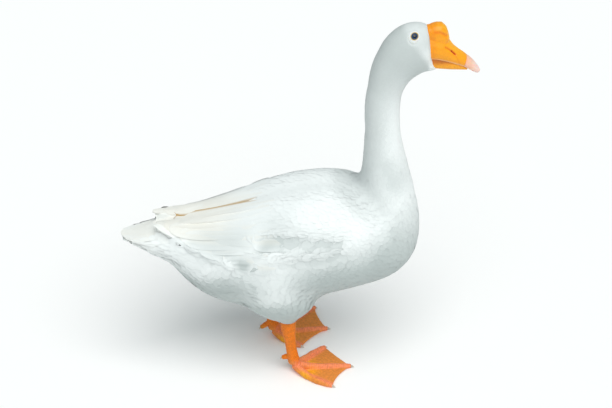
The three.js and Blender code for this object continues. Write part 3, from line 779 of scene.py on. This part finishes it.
def big_feather(route, width, lift, tip_round, stain, bow, tilt, lay):
    """One big feather laid along a route of two ends: points, normals, shape, tints and length."""
    t = STATIONS
    (x0, w0), (x1, w1) = route
    line, up, good = lay(x0 + (x1 - x0) * t, w0 + (w1 - w0) * t + bow * 4 * t * (1 - t))
    good &= up @ unit(np.nan_to_num(up[MIDDLE_STATIONS]).sum(0)) > SAME_WAY
    power = t[:, None] ** np.arange(3)
    for stray in STRAYS:  # an even bend through the points that lie on the wing itself
        bend = power @ np.linalg.lstsq(power[good], line[good], rcond=None)[0]
        near = np.linalg.norm(np.nan_to_num(line, nan=9.0) - bend, axis=1) < stray
        if (good & near).sum() < FEWEST:
            break
        good = good & near
    up = unit(power @ np.linalg.lstsq(power[good], up[good], rcond=None)[0])
    line = power @ np.linalg.lstsq(power[good], line[good], rcond=None)[0]
    heading = unit(np.gradient(line, axis=0))
    side = unit(np.cross(up, heading))
    half = 0.5 * width * np.minimum(1, ROOT_WIDTH + WIDENING * t)
    taper = np.clip((t - tip_round) / (1 - tip_round), 0, 1)
    half = half * np.sqrt(np.maximum(1 - taper ** TIP_SHAPE, 0.0)) + LEAST_HALF
    u = ACROSS[None, :]
    flat = line[:, None] + side[:, None] * (u * half[:, None])[..., None]
    ground, out = (part.reshape(flat.shape) for part in laid_on_skin(flat.reshape(-1, 3)))
    far, turned = np.linalg.norm(ground - flat, axis=2), (out * up[:, None]).sum(2)
    beyond = ((far > EDGE_REACH) | (turned < EDGE_WAY))[..., None]
    drop = ((ground - flat) * up[:, None]).sum(2, keepdims=True) * up[:, None]
    drop, out = np.where(beyond, 0, drop), np.where(beyond, up[:, None], out)
    tt, uu = (part.ravel() for part in np.meshgrid(t, ACROSS, indexing="ij"))
    evenly = np.stack([tt ** 0, tt, tt ** 2, tt ** 3, uu, uu ** 2, uu * tt, uu ** 2 * tt], 1)
    evenly = evenly @ np.linalg.pinv(evenly)
    even = (evenly @ drop.reshape(-1, 3)).reshape(flat.shape)
    ground = flat + even
    out = unit((evenly @ out.reshape(-1, 3)).reshape(flat.shape))
    clear = ((drop - even) * out).sum(2).max().clip(0, BIG_MOST_CLEAR)  # keeps it above the skin
    rise = -BIG_ROOT_SET + (lift + BIG_ROOT_SET) * np.minimum(1, t * WIDENING)
    rise = clear + rise[:, None] + tilt * u * half[:, None]
    rise = rise + SHAFT * np.exp(-((u / SHAFT_WIDTH) ** 2)) * (1 - SHAFT_THINNING * t)[:, None]
    top = ground + out * rise[..., None]
    rim = [-1, 0]
    verts = np.concatenate([top, top[:, rim] - out[:, rim] * RIM_DEPTH], 1).reshape(-1, 3)
    face = np.cross(np.gradient(top, axis=1), np.gradient(top, axis=0))
    face = unit(np.where((face * out).sum(2, keepdims=True) < 0, -face, face) + 1e-9)
    normal = unit(face + out)
    # the rim faces sideways and a little down, and at the tip mostly along the feather
    away = side[:, None] * np.array([1.0, -1.0])[None, :, None]
    away[-1] += 2 * heading[-1]
    normal = np.concatenate([normal, unit(away - 0.4 * out[:, rim])], 1).reshape(-1, 3)
    across = np.tile(np.append(ACROSS, (1, -1)) / 2, len(t))
    shape = np.stack([np.repeat(t, len(ACROSS) + 2), across], 1)
    # white with the painted shade of plumage_tint, then stained
    colour = plumage_tint(verts)
    stained = stain * ramp(shape[:, :1], 0.15, 0.5)
    colour = colour * (1 - stained) + colour * CREAM / WHITE * stained
    shaft = (np.abs(across) < SHAFT_WIDTH / 2)[:, None] * SHAFT_CREAM
    colour = colour * (1 - shaft) + CREAM * shaft
    return verts, normal, shape, colour, np.linalg.norm(line[-1] - line[0])


# Rows of the folded wing. Values in brackets run from a row's first feather to its last: forward is in
# mm, degrees are round the body from the middle of the back, and width and lift are in mm.
WING_ROWS = (
    # name, count, root forward, root degrees, tip forward, tip degrees, width, lift, round from, stain
    ("primaries", 5, (-118, -128), (18, 34), (-214, -228, -234, -230, -220), (8, 16, 22, 28, 36),
     17, (0.5, 0.1), 0.78, (0.3,)),
    ("tertials", 7, (-78, -66, -50), (54, 36, 18), (-182, -200, -215, -224, -224, -218, -208),
     (50, 43, 35, 27, 19, 10, 0), 30, (0.3, 0.7, 1.2), 0.80, (0.15, 0.5, 0.45)),
    ("secondaries", 6, (-50, -54, -60), (84, 68, 52), (-112, -132, -152, -170, -184, -196),
     (74, 67, 61, 57, 53, 48), 30, (0.5, 0.9), 0.74, (0.0, 0.05)),
    ("greater_coverts", 6, (-28, -30, -32), (60, 42, 18), (-88, -96, -103, -106, -104),
     (55, 47, 38, 29, 20), 30, (0.3, 0.7), 0.66, (0.0,)),
)
# Degrees added to the innermost roots and tips: the wings meet a little to the left, behind.
INNER_SHIFT = {-1: (0, 0), 1: (-16, 17)}
LEFT_REACH = 13  # how much further back the left wing's primaries reach, mm
TILT = 0.010  # slope of a feather across its width, by which it leans over its neighbour
ROOT_STRAY, TIP_STRAY, TURN_STRAY = 1.0, 1.2, 0.5  # how unevenly they lie: mm, mm, degrees
WIDTHS, STAINS, BOW, BOW_STRAY = (0.95, 1.06), (0.7, 1.15), 0.6, 0.4  # shares, shares, degrees, degrees

vane_white = feather_white("vane_white", barbs=0.35)
big_faces = big_vane()
rng = np.random.default_rng(23)


def feather_row(name, made, width):
    """Joins feathers made by big_feather into one piece."""
    verts, normal, shape, colour, length = (np.array(part) for part in zip(*made))
    return coat_mesh(
        name, verts, normal, big_faces, patch_uv(verts[:, 3], shape[0]),
        barb_map(length, np.full(len(made), width), shape[0]), colour, vane_white,
    )


def ochre_edged(feather, sign):
    """The same feather with its inner edge stained ochre."""
    verts, normal, shape, colour, length = feather
    inner = ramp(sign * shape[:, 1], 0.30, 0.5)[:, None] * ramp(shape[:, 0], 0.15, 0.3)[:, None]
    return verts, normal, shape, colour * (1 - inner) + OCHRE * inner, length


def along_row(values, share):
    return float(np.interp(share, np.linspace(0, 1, len(values)), values))


for side_name, sign in (("left", 1), ("right", -1)):
    for row, count, root_x, root_turn, tip_x, tip_turn, width, lift, tip_round, stain in WING_ROWS:
        made = []
        for share in np.arange(count) / (count - 1):
            start, end = along_row(root_turn, share), along_row(tip_turn, share)
            inner = ramp(end, 30, 0) if row == "tertials" else 0
            start, end = start + INNER_SHIFT[sign][0] * inner, end + INNER_SHIFT[sign][1] * inner
            reach = LEFT_REACH if row == "primaries" and sign > 0 else 0
            root = (along_row(root_x, share) + rng.normal(0, ROOT_STRAY), sign * start)
            tip = (
                along_row(tip_x, share) - reach + rng.normal(0, TIP_STRAY),
                sign * (end + rng.normal(0, TURN_STRAY)),
            )
            made.append(big_feather(
                (root, tip), width / 1000 * rng.uniform(*WIDTHS), along_row(lift, share) / 1000,
                tip_round, along_row(stain, share) * rng.uniform(*STAINS),
                sign * rng.normal(BOW, BOW_STRAY), -sign * TILT, round_body,
            ))
        if row == "tertials":
            made[-1] = ochre_edged(made[-1], sign)
        piece = feather_row(f"{row}_{side_name}", made, width / 1000)

TAIL_COUNT, TAIL_WIDTH = 16, 0.017
TAIL_TOP = ((-296, -274, -246, -217, -200), (249, 255, 260, 265, 269))  # its middle, in side view, mm
TAIL_DOME, TAIL_HALF = 8, 30  # how far its sides hang, at what distance from its middle, mm
TAIL_SLOPE = 0.2  # how steeply it drops towards its end
TAIL_ROOTS, TAIL_TIPS = (-222, 27), (-294, 21)  # forward mm in the middle, sideways mm at the edge
TAIL_ROUNDING = 20  # how much further forward the outermost tips lie, mm
TAIL_LIFT, TAIL_LIFT_GAIN = 0.2, 0.9  # mm at the edge, more in the middle
TAIL_ROUND_FROM, TAIL_STAIN = 0.82, 0.2


def on_tail(x, y):
    """The domed upper surface of the tail at x and y mm, with the way it faces."""
    z = np.interp(x, *TAIL_TOP) - TAIL_DOME * (y / TAIL_HALF) ** 2
    line = np.stack([x / 1000 + NOSEWARD, y / 1000 + MIDDLE_Y, z / 1000], 1)
    sideways = 2 * TAIL_DOME * y / TAIL_HALF ** 2
    up = unit(np.stack([np.full(len(x), -TAIL_SLOPE), sideways, np.ones(len(x))], 1))
    return line, up, np.ones(len(x), bool)


made = []
for k in sorted(range(TAIL_COUNT), key=lambda k: -abs(k - (TAIL_COUNT - 1) / 2)):
    u = 2 * k / (TAIL_COUNT - 1) - 1
    root = (TAIL_ROOTS[0], TAIL_ROOTS[1] * u)
    tip = (TAIL_TIPS[0] + TAIL_ROUNDING * abs(u) ** 2, TAIL_TIPS[1] * u)
    lift = (TAIL_LIFT + TAIL_LIFT_GAIN * (1 - abs(u))) / 1000
    made.append(big_feather(
        (root, tip), TAIL_WIDTH, lift, TAIL_ROUND_FROM, TAIL_STAIN, 0, 0, on_tail
    ))
piece = feather_row("tail_feathers", made, TAIL_WIDTH)


# ---- Bill and knob ----
# The upper bill and the knob on the forehead are one piece of living skin over horn and bone, bright
# orange and slightly waxy, with a slit nostril and a pale rim along the mouth.

def painted(name, roughness, mottling, grain, relief, specular=0.4, coat=0.0, subsurface=0.0):
    """A finish in the piece's own tint, broken up by mottling of the given grain, with relief."""
    paint = bpy.data.materials.new(name)
    paint.use_nodes = True
    nodes, links = paint.node_tree.nodes, paint.node_tree.links
    shader = nodes["Principled BSDF"]
    noise = mottled(paint, grain, detail=5, darkest=1 - mottling, lightest=1 + mottling / 2)
    bump = nodes.new("ShaderNodeBump")
    bump.inputs["Strength"].default_value = relief
    bump.inputs["Distance"].default_value = 0.0006
    links.new(noise.outputs["Fac"], bump.inputs["Height"])
    links.new(bump.outputs["Normal"], shader.inputs["Normal"])
    shader.inputs["Roughness"].default_value = roughness
    shader.inputs["Specular IOR Level"].default_value = specular
    shader.inputs["Coat Weight"].default_value = coat
    shader.inputs["Coat Roughness"].default_value = 0.25
    shader.inputs["Subsurface Weight"].default_value = subsurface
    shader.inputs["Subsurface Radius"].default_value = (0.004, 0.0016, 0.0006)
    shader.inputs["Subsurface Scale"].default_value = 0.5
    return paint


def side_view(piece):
    """A piece's points in millimetres of the bird, and how far they lie from its middle plane."""
    p = points_of(piece)
    flat = np.stack([(p[:, 0] - NOSEWARD), p[:, 2]], 1) * 1000
    return p, flat, np.abs(p[:, 1] - MIDDLE_Y) * 1000


def near_line(flat, route, width):
    """1 on a line through the points of a route in side view, fading to 0 over about two widths."""
    gap, _, _ = beside(flat, route)
    return np.exp(-((gap / width) ** 2))


ORANGE = np.array([0.98, 0.375, 0.004])
# The deeper orange is painted shade on the bill, the brighter orange painted light.
SHADED_ORANGE, LIT_ORANGE = np.array([0.90, 0.22, 0.002]), np.array([1.0, 0.50, 0.02])
PALE_RIM = np.array([0.95, 0.60, 0.34])
# A deep red painted as shade in the nostril, its groove and the furrow.
NOSTRIL_SHADE = np.array([0.60, 0.035, 0.004])
FACE_TOP, FACE_FOOT = (191, 602), (198, 538)  # the edge of the feathers, in side view
KNOB_CREASE = [(200, 593), (208, 592), (214, 588.5), (219, 586)]
NOSTRIL = [(226.5, 561.5), (232.5, 555.5)]
NOSTRIL_GROOVE = [(216, 568.5), (221, 565.5), (226.5, 561.5)]
FURROW = [(233, 554), (236, 548), (239.5, 539)]
MOUTH_RIM = [(196, 548.5), (207, 548), (218, 545), (230, 541.5), (241, 537), (250, 533)]
CHEEK_MIDDLE, CHEEK_REACH = (214, 571), 9  # the swelling behind the nostril
BILL_TUCK = 0.0035  # how far the foot of the bill runs back under the feathers


def tucked_in(piece, depth):
    """Carries the foot of a bill piece back under the feathers of the face."""
    p, flat, _ = side_view(piece)
    down = (FACE_TOP[1] - flat[:, 1]) / (FACE_TOP[1] - FACE_FOOT[1])
    edge = FACE_TOP[0] + down * (FACE_FOOT[0] - FACE_TOP[0])
    p[:, 0] -= depth * (1 - ramp(flat[:, 0] - edge, 1.0, 3.2))
    move_points(piece, p)


bill = fused_copy("bill", ("bill_upper", "bill_knob"), voxel=0.0008, smooth_passes=7, grow=0.0003)
p, flat, out = side_view(bill)
normal = normals_of(bill)
side = ramp(np.abs(normal[:, 1]), 0.25, 0.6)
crease = near_line(flat, KNOB_CREASE, 2.1)
slit = near_line(flat, NOSTRIL, 0.95) * side
groove = near_line(flat, NOSTRIL_GROOVE, 1.3) * side
furrow = near_line(flat, FURROW, 0.9) * side
rim = near_line(flat, MOUTH_RIM, 1.5) * ramp(out, 4, 7)
cheek = np.exp(-(((flat - CHEEK_MIDDLE) / CHEEK_REACH) ** 2).sum(1)) * side
sunk = 1.5 * crease * ramp(flat[:, 0], 198, 214) + 2.6 * slit + 0.8 * groove  # mm
sunk = sunk + 0.5 * furrow - 0.55 * rim - 0.7 * cheek
move_points(bill, p - normal * sunk[:, None] / 1000)
# painted shade: deeper orange in the crease under the knob and at the foot of the bill by the feathers
painted_shade = 0.75 * crease[:, None] + 0.35 * (1 - ramp(flat[:, 0], 196, 206))[:, None]
colour = ORANGE * (1 - painted_shade) + SHADED_ORANGE * painted_shade
# painted light: lighter orange on the faces that turn forward and up
light = (0.5 * ramp(normal[:, 0] + 0.6 * normal[:, 2], 0.5, 1.1) * ramp(flat[:, 1], 548, 560))[:, None]
colour = colour * (1 - light) + LIT_ORANGE * light
colour = colour * (1 - 0.75 * rim[:, None]) + PALE_RIM * 0.75 * rim[:, None]
# painted shade in the nostril slit, its groove and the furrow, a deep red
recess_shade = np.clip(1.25 * slit + 0.5 * groove + 0.25 * furrow, 0, 1)[:, None]
colour = colour * (1 - recess_shade) + NOSTRIL_SHADE * recess_shade
tinted(bill, colour)
tucked_in(bill, BILL_TUCK)
bill.data.materials.append(painted(
    "bill_orange", roughness=0.42, mottling=0.10, grain=420, relief=0.25, coat=0.12, subsurface=0.12
))
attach(bill, "root")
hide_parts("bill_upper", "bill_knob")


# ---- Lower bill ----
# The lower half of the bill, a shallow trough of the same skin that closes up under the pale rim,
# darker where the upper bill shades it.

LOWER_ORANGE, LOWER_SHADED = np.array([0.98, 0.40, 0.02]), np.array([0.60, 0.18, 0.02])
LOWER_TUCK = 0.004

lower_bill = fused_copy("lower_bill", ("bill_lower",), voxel=0.0008, smooth_passes=6, grow=0.0003)
_, flat, _ = side_view(lower_bill)
shade = ramp(flat[:, 1], 536, 544)[:, None]
tinted(lower_bill, LOWER_ORANGE * (1 - shade) + LOWER_SHADED * shade)
tucked_in(lower_bill, LOWER_TUCK)
lower_bill.data.materials.append(painted(
    "lower_bill_orange", roughness=0.5, mottling=0.15, grain=380, relief=0.25, subsurface=0.08
))
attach(lower_bill, "root")
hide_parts("bill_lower")


# ---- Nail ----
# The horn plate that tips the upper bill: a pinkish white shield, hooked down over the lower bill.

NAIL_PINK, NAIL_PALE = np.array([0.92, 0.52, 0.36]), np.array([0.93, 0.68, 0.60])

nail = fused_copy("nail", ("bill_nail",), voxel=0.0007, smooth_passes=6, grow=0.0003)
_, flat, _ = side_view(nail)
tip = ramp(flat[:, 0], 252, 270)[:, None]
tinted(nail, NAIL_PINK * (1 - tip) + NAIL_PALE * tip)
nail.data.materials.append(painted(
    "nail_horn", roughness=0.35, mottling=0.07, grain=300, relief=0.15, coat=0.2, subsurface=0.2
))
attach(nail, "root")
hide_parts("bill_nail")


# ---- Eyes ----
# Moist eyeballs with a dark blue iris round a black pupil, each in a ring of yellow lid skin that
# closes over the ball, turns white further out and runs under the feathers of the face.

EYE_RADIUS, PUPIL, IRIS = 0.0083, 0.0031, 0.0056
PUPIL_BLACK, IRIS_BLUE = np.array([0.004, 0.004, 0.006]), np.array([0.035, 0.085, 0.20])
IRIS_RIM, EYE_BACK = np.array([0.012, 0.018, 0.035]), (0.02, 0.02, 0.03)
LID = [  # the lid's profile: distance from the line of sight, height above the middle of the eye, mm
    (4.9, 6.5), (5.15, 7.0), (5.6, 7.35), (6.3, 7.3), (7.0, 6.9), (7.9, 6.2), (8.9, 5.3), (10.0, 4.1),
    (10.6, 2.6),
]
LID_YELLOW, LID_PALE = np.array([0.52, 0.33, 0.05]), np.array([0.84, 0.86, 0.85])
LID_PALE_FROM, LID_PALE_OVER = 5.9, 0.8  # where on the profile the lid turns pale, mm
LID_SIDES, LID_LONG = 48, 0.06  # points round the lid, and how far it is drawn out into an oval

eye_gloss = painted(
    "eye_gloss", roughness=0.12, mottling=0.12, grain=900, relief=0.0, specular=0.25, coat=0.3
)
eye_gloss.node_tree.nodes["Principled BSDF"].inputs["Coat Roughness"].default_value = 0.03
lid_skin = painted(
    "lid_skin", roughness=0.5, mottling=0.12, grain=700, relief=0.3, subsurface=0.1
)
for label, sign in (("right", -1), ("left", 1)):
    middle, gaze = eye_at(sign)
    bpy.ops.object.select_all(action="DESELECT")
    bpy.ops.mesh.primitive_uv_sphere_add(
        segments=64, ring_count=48, radius=EYE_RADIUS, location=middle,
        rotation=gaze.to_track_quat("Z", "Y").to_euler(),
    )
    eye = bpy.context.view_layer.objects.active
    eye.name = eye.data.name = f"eyeball_{label}"
    bpy.ops.object.transform_apply(location=True, rotation=True)
    bpy.ops.object.shade_smooth()
    p = points_of(eye) - np.array(middle)
    off_axis = np.linalg.norm(np.cross(p, np.array(gaze)), axis=1)
    front = (p @ np.array(gaze)) > 0
    iris = ramp(off_axis, PUPIL * 0.9, PUPIL * 1.12)[:, None]
    rim = ramp(off_axis, IRIS * 0.75, IRIS * 0.95)[:, None]
    colour = PUPIL_BLACK * (1 - iris) + IRIS_BLUE * iris
    colour = colour * (1 - rim) + IRIS_RIM * rim
    colour[~front] = EYE_BACK
    tinted(eye, colour)
    eye.data.materials.append(eye_gloss)
    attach(eye, "root")
    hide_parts(f"eye_{label}")

    across = gaze.orthogonal().normalized()
    up = gaze.cross(across)
    verts, colour = [], []
    for r, h in LID:
        for j in range(LID_SIDES):
            turn = 2 * math.pi * j / LID_SIDES
            long = 1 + LID_LONG * math.cos(2 * turn)
            out = across * math.cos(turn) + up * math.sin(turn)
            verts.append(middle + out * (r * long / 1000) + gaze * (h / 1000))
            pale = min(1, max(0, (r - LID_PALE_FROM) / LID_PALE_OVER))
            colour.append(LID_YELLOW * (1 - pale) + LID_PALE * pale)
    faces = []
    rows = len(LID)
    for i in range(rows):
        for j in range(LID_SIDES):
            a, b = i * LID_SIDES + j, i * LID_SIDES + (j + 1) % LID_SIDES
            c, d = ((i + 1) % rows) * LID_SIDES + (j + 1) % LID_SIDES, ((i + 1) % rows) * LID_SIDES + j
            faces.append((a, d, c, b))
    mesh = bpy.data.meshes.new(f"eyelids_{label}")
    mesh.from_pydata(verts, [], faces)
    lids = bpy.data.objects.new(f"eyelids_{label}", mesh)
    bpy.context.collection.objects.link(lids)
    only(lids)
    bpy.ops.object.mode_set(mode="EDIT")
    bpy.ops.mesh.select_all(action="SELECT")
    bpy.ops.mesh.normals_make_consistent(inside=False)
    bpy.ops.object.mode_set(mode="OBJECT")
    bpy.ops.object.shade_smooth()
    tinted(lids, np.array(colour))
    lids.data.materials.append(lid_skin)
    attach(lids, "root")


# ---- Legs and feet ----
# Bare legs in orange skin: netted scales down the shank, rows of scutes along pinkish toes, and
# wrinkled webs between the toes. Each leg is one surface, from under the thigh feathers to the toes.

SHANK_ORANGE, SHANK_DEEP = np.array([0.90, 0.23, 0.004]), np.array([0.60, 0.11, 0.002])
TOE_PINK, TOE_ORANGE = np.array([0.98, 0.30, 0.16]), np.array([0.92, 0.20, 0.05])
WEB_ORANGE, WEB_YELLOW = np.array([0.80, 0.27, 0.045]), np.array([0.93, 0.40, 0.012])
SCALE_PITCH, SCUTE_PITCH, WRINKLE_PITCH = 0.0036, 0.0030, 0.0021
SCALE_RELIEF, SCUTE_RELIEF, WRINKLE_RELIEF = 0.00045, 0.00035, 0.00012
SCALE_ROW, SCALE_REACH = 0.87, 0.62  # height of a row and reach of a scale, as shares of the pitch
WAVER, WAVERS = 3, 240  # how much and how often the wrinkles waver
SHANK_RADIUS, TOE_REACH = 0.010, 0.0062
FOOT_AHEAD = np.array([0.004, 0.0])  # from under the shank to where the toes spread
WEB_YELLOW_AT, WEB_YELLOW_OVER = 0.030, 0.012  # distance from the middle of the foot, and its spread


def plan_middle(box):
    """The middle of a box seen from above."""
    low, high = box
    return np.array([(low[0] + high[0]) / 2, (low[1] + high[1]) / 2])


leg_skin = painted(
    "leg_skin", roughness=0.55, mottling=0.20, grain=260, relief=0.5, specular=0.35, subsurface=0.08
)
for label in ("right", "left"):
    leg_nodes = (f"shank_{label}", f"foot_{label}", f"toe_hind_{label}")
    leg = fused_copy(f"leg_{label}", leg_nodes, voxel=0.0010, smooth_passes=3, grow=0.0003)
    p, normal = points_of(leg), normals_of(leg)
    ankle = plan_middle(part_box(f"shank_{label}"))
    foot_middle = ankle + FOOT_AHEAD
    toe, along_toe = np.zeros(len(p)), np.zeros(len(p))
    for name in ("inner", "middle", "outer"):
        step = plan_middle(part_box(f"claw_{name}_{label}")) - foot_middle
        t = np.clip(((p[:, :2] - foot_middle) @ step) / (step @ step), 0, 1)
        gap = np.linalg.norm(p[:, :2] - (foot_middle + t[:, None] * step), axis=1)
        share = np.exp(-((gap / TOE_REACH) ** 4))
        along_toe = np.where(share > toe, t * np.linalg.norm(step), along_toe)
        toe = np.maximum(toe, share)
    upright = ramp(p[:, 2], 0.016, 0.030)
    turn = np.arctan2(p[:, 1] - ankle[1], p[:, 0] - ankle[0]) * SHANK_RADIUS
    row = p[:, 2] / (SCALE_PITCH * SCALE_ROW)
    shift = 0.5 * (np.floor(row) % 2)
    cell = np.stack([(turn / SCALE_PITCH + shift) % 1 - 0.5, row % 1 - 0.5], 1)
    dome = 1 - np.clip(np.linalg.norm(cell, axis=1) / SCALE_REACH, 0, 1) ** 2
    scute = np.abs(np.sin(math.pi * along_toe / SCUTE_PITCH))
    top = ramp(normal[:, 2], 0.1, 0.6)
    relief = SCALE_RELIEF * dome * upright + SCUTE_RELIEF * scute * toe * top * (1 - upright)
    from_middle = np.linalg.norm(p[:, :2] - foot_middle, axis=1)
    wrinkle = np.sin(from_middle / WRINKLE_PITCH + WAVER * np.sin(p[:, 1] * WAVERS))
    web = (1 - toe) * (1 - upright)
    relief += WRINKLE_RELIEF * wrinkle * web * top
    p += normal * relief[:, None]
    p[:, 2] = np.maximum(p[:, 2], 0)
    move_points(leg, p)
    up_leg = (upright * (0.35 + 0.65 * dome))[:, None]
    shank_colour = SHANK_DEEP * (1 - up_leg) + SHANK_ORANGE * up_leg
    pink = (toe * (0.55 + 0.45 * scute))[:, None]
    from_middle = np.linalg.norm(p[:, :2] - foot_middle, axis=1)  # again, on the raised skin
    near = np.exp(-((from_middle - WEB_YELLOW_AT) / WEB_YELLOW_OVER) ** 2)[:, None]
    web_colour = WEB_ORANGE * (1 - near) + WEB_YELLOW * near
    toe_colour = TOE_PINK * scute[:, None] + TOE_ORANGE * (1 - scute[:, None])
    foot_colour = web_colour * (1 - pink) + toe_colour * pink
    tinted(leg, shank_colour * upright[:, None] + foot_colour * (1 - upright[:, None]))
    leg.data.materials.append(leg_skin)
    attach(leg, "root")
    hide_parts(f"shank_{label}", f"foot_{label}", f"toe_hind_{label}")


# ---- Claws ----
# Short blunt claws of grey-brown horn at the ends of the toes, paler towards their two ends.

CLAW_GREY, CLAW_PALE = np.array([0.50, 0.42, 0.34]), np.array([0.72, 0.66, 0.56])

claw_horn = painted(
    "claw_horn", roughness=0.4, mottling=0.2, grain=500, relief=0.3, specular=0.5, coat=0.15
)
for label in ("right", "left"):
    for name in ("inner", "middle", "outer", "hind"):
        node = f"claw_{name}_{label}"
        claw = fused_copy(f"{node}_horn", (node,), voxel=0.0005, smooth_passes=3, grow=0.0002)
        p = points_of(claw)
        tip = ramp(np.linalg.norm(p[:, :2] - p[:, :2].mean(0), axis=1), 0.001, 0.005)[:, None]
        tinted(claw, CLAW_GREY * (1 - tip) + CLAW_PALE * tip)
        claw.data.materials.append(claw_horn)
        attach(claw, "root")
        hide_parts(node)
